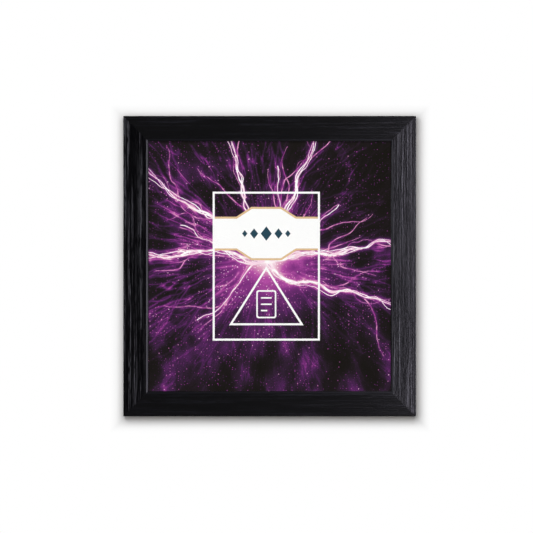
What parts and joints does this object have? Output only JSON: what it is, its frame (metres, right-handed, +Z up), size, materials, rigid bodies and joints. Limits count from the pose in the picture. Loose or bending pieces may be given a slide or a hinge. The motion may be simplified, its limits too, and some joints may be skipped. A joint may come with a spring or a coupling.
{
  "type": "trading card frame",
  "caption": "Wall frame for one trading card: black mitred wood moulding, clear glazing and a dark printed insert with a marked card place, with a back board and a sawtooth hanger.",
  "frame": {"origin": "middle of the box round the whole frame, at its lower edge", "axes": "+Z up, +X to the right seen from the front, +Y to the back, so the print faces -Y"},
  "size_m": [0.175, 0.0208, 0.1796],
  "materials": {
    "moulding": "satin",
    "glazing": "polished",
    "printed_card": "satin",
    "violet_ink": "satin",
    "lilac_ink": "satin",
    "white_ink": "satin",
    "gold_ink": "satin",
    "slate_ink": "satin",
    "back_board": "matte",
    "zinc_steel": "satin"
  },
  "bodies": {
    "root": {"rail_bottom": "moulding", "rail_top": "moulding", "rail_left": "moulding", "rail_right": "moulding", "glazing": "glazing", "printed_insert": "printed_card", "back_board": "back_board", "print_haze": "violet_ink", "print_lightning": "lilac_ink", "print_white_lines": "white_ink", "print_label_band": "white_ink", "print_label_edging": "gold_ink", "print_label_lozenges": "slate_ink", "sawtooth_hanger": "zinc_steel", "hanger_pin_left": "zinc_steel", "hanger_pin_right": "zinc_steel", "board_point_bottom_1": "zinc_steel", "board_point_bottom_2": "zinc_steel", "board_point_top_1": "zinc_steel", "board_point_top_2": "zinc_steel", "board_point_left_1": "zinc_steel", "board_point_left_2": "zinc_steel", "board_point_right_1": "zinc_steel", "board_point_right_2": "zinc_steel", "v_nail_bottom_left_outer": "zinc_steel", "v_nail_bottom_left_inner": "zinc_steel", "v_nail_bottom_right_outer": "zinc_steel", "v_nail_bottom_right_inner": "zinc_steel", "v_nail_top_left_outer": "zinc_steel", "v_nail_top_left_inner": "zinc_steel", "v_nail_top_right_outer": "zinc_steel", "v_nail_top_right_inner": "zinc_steel"}
  },
  "joints": []
}
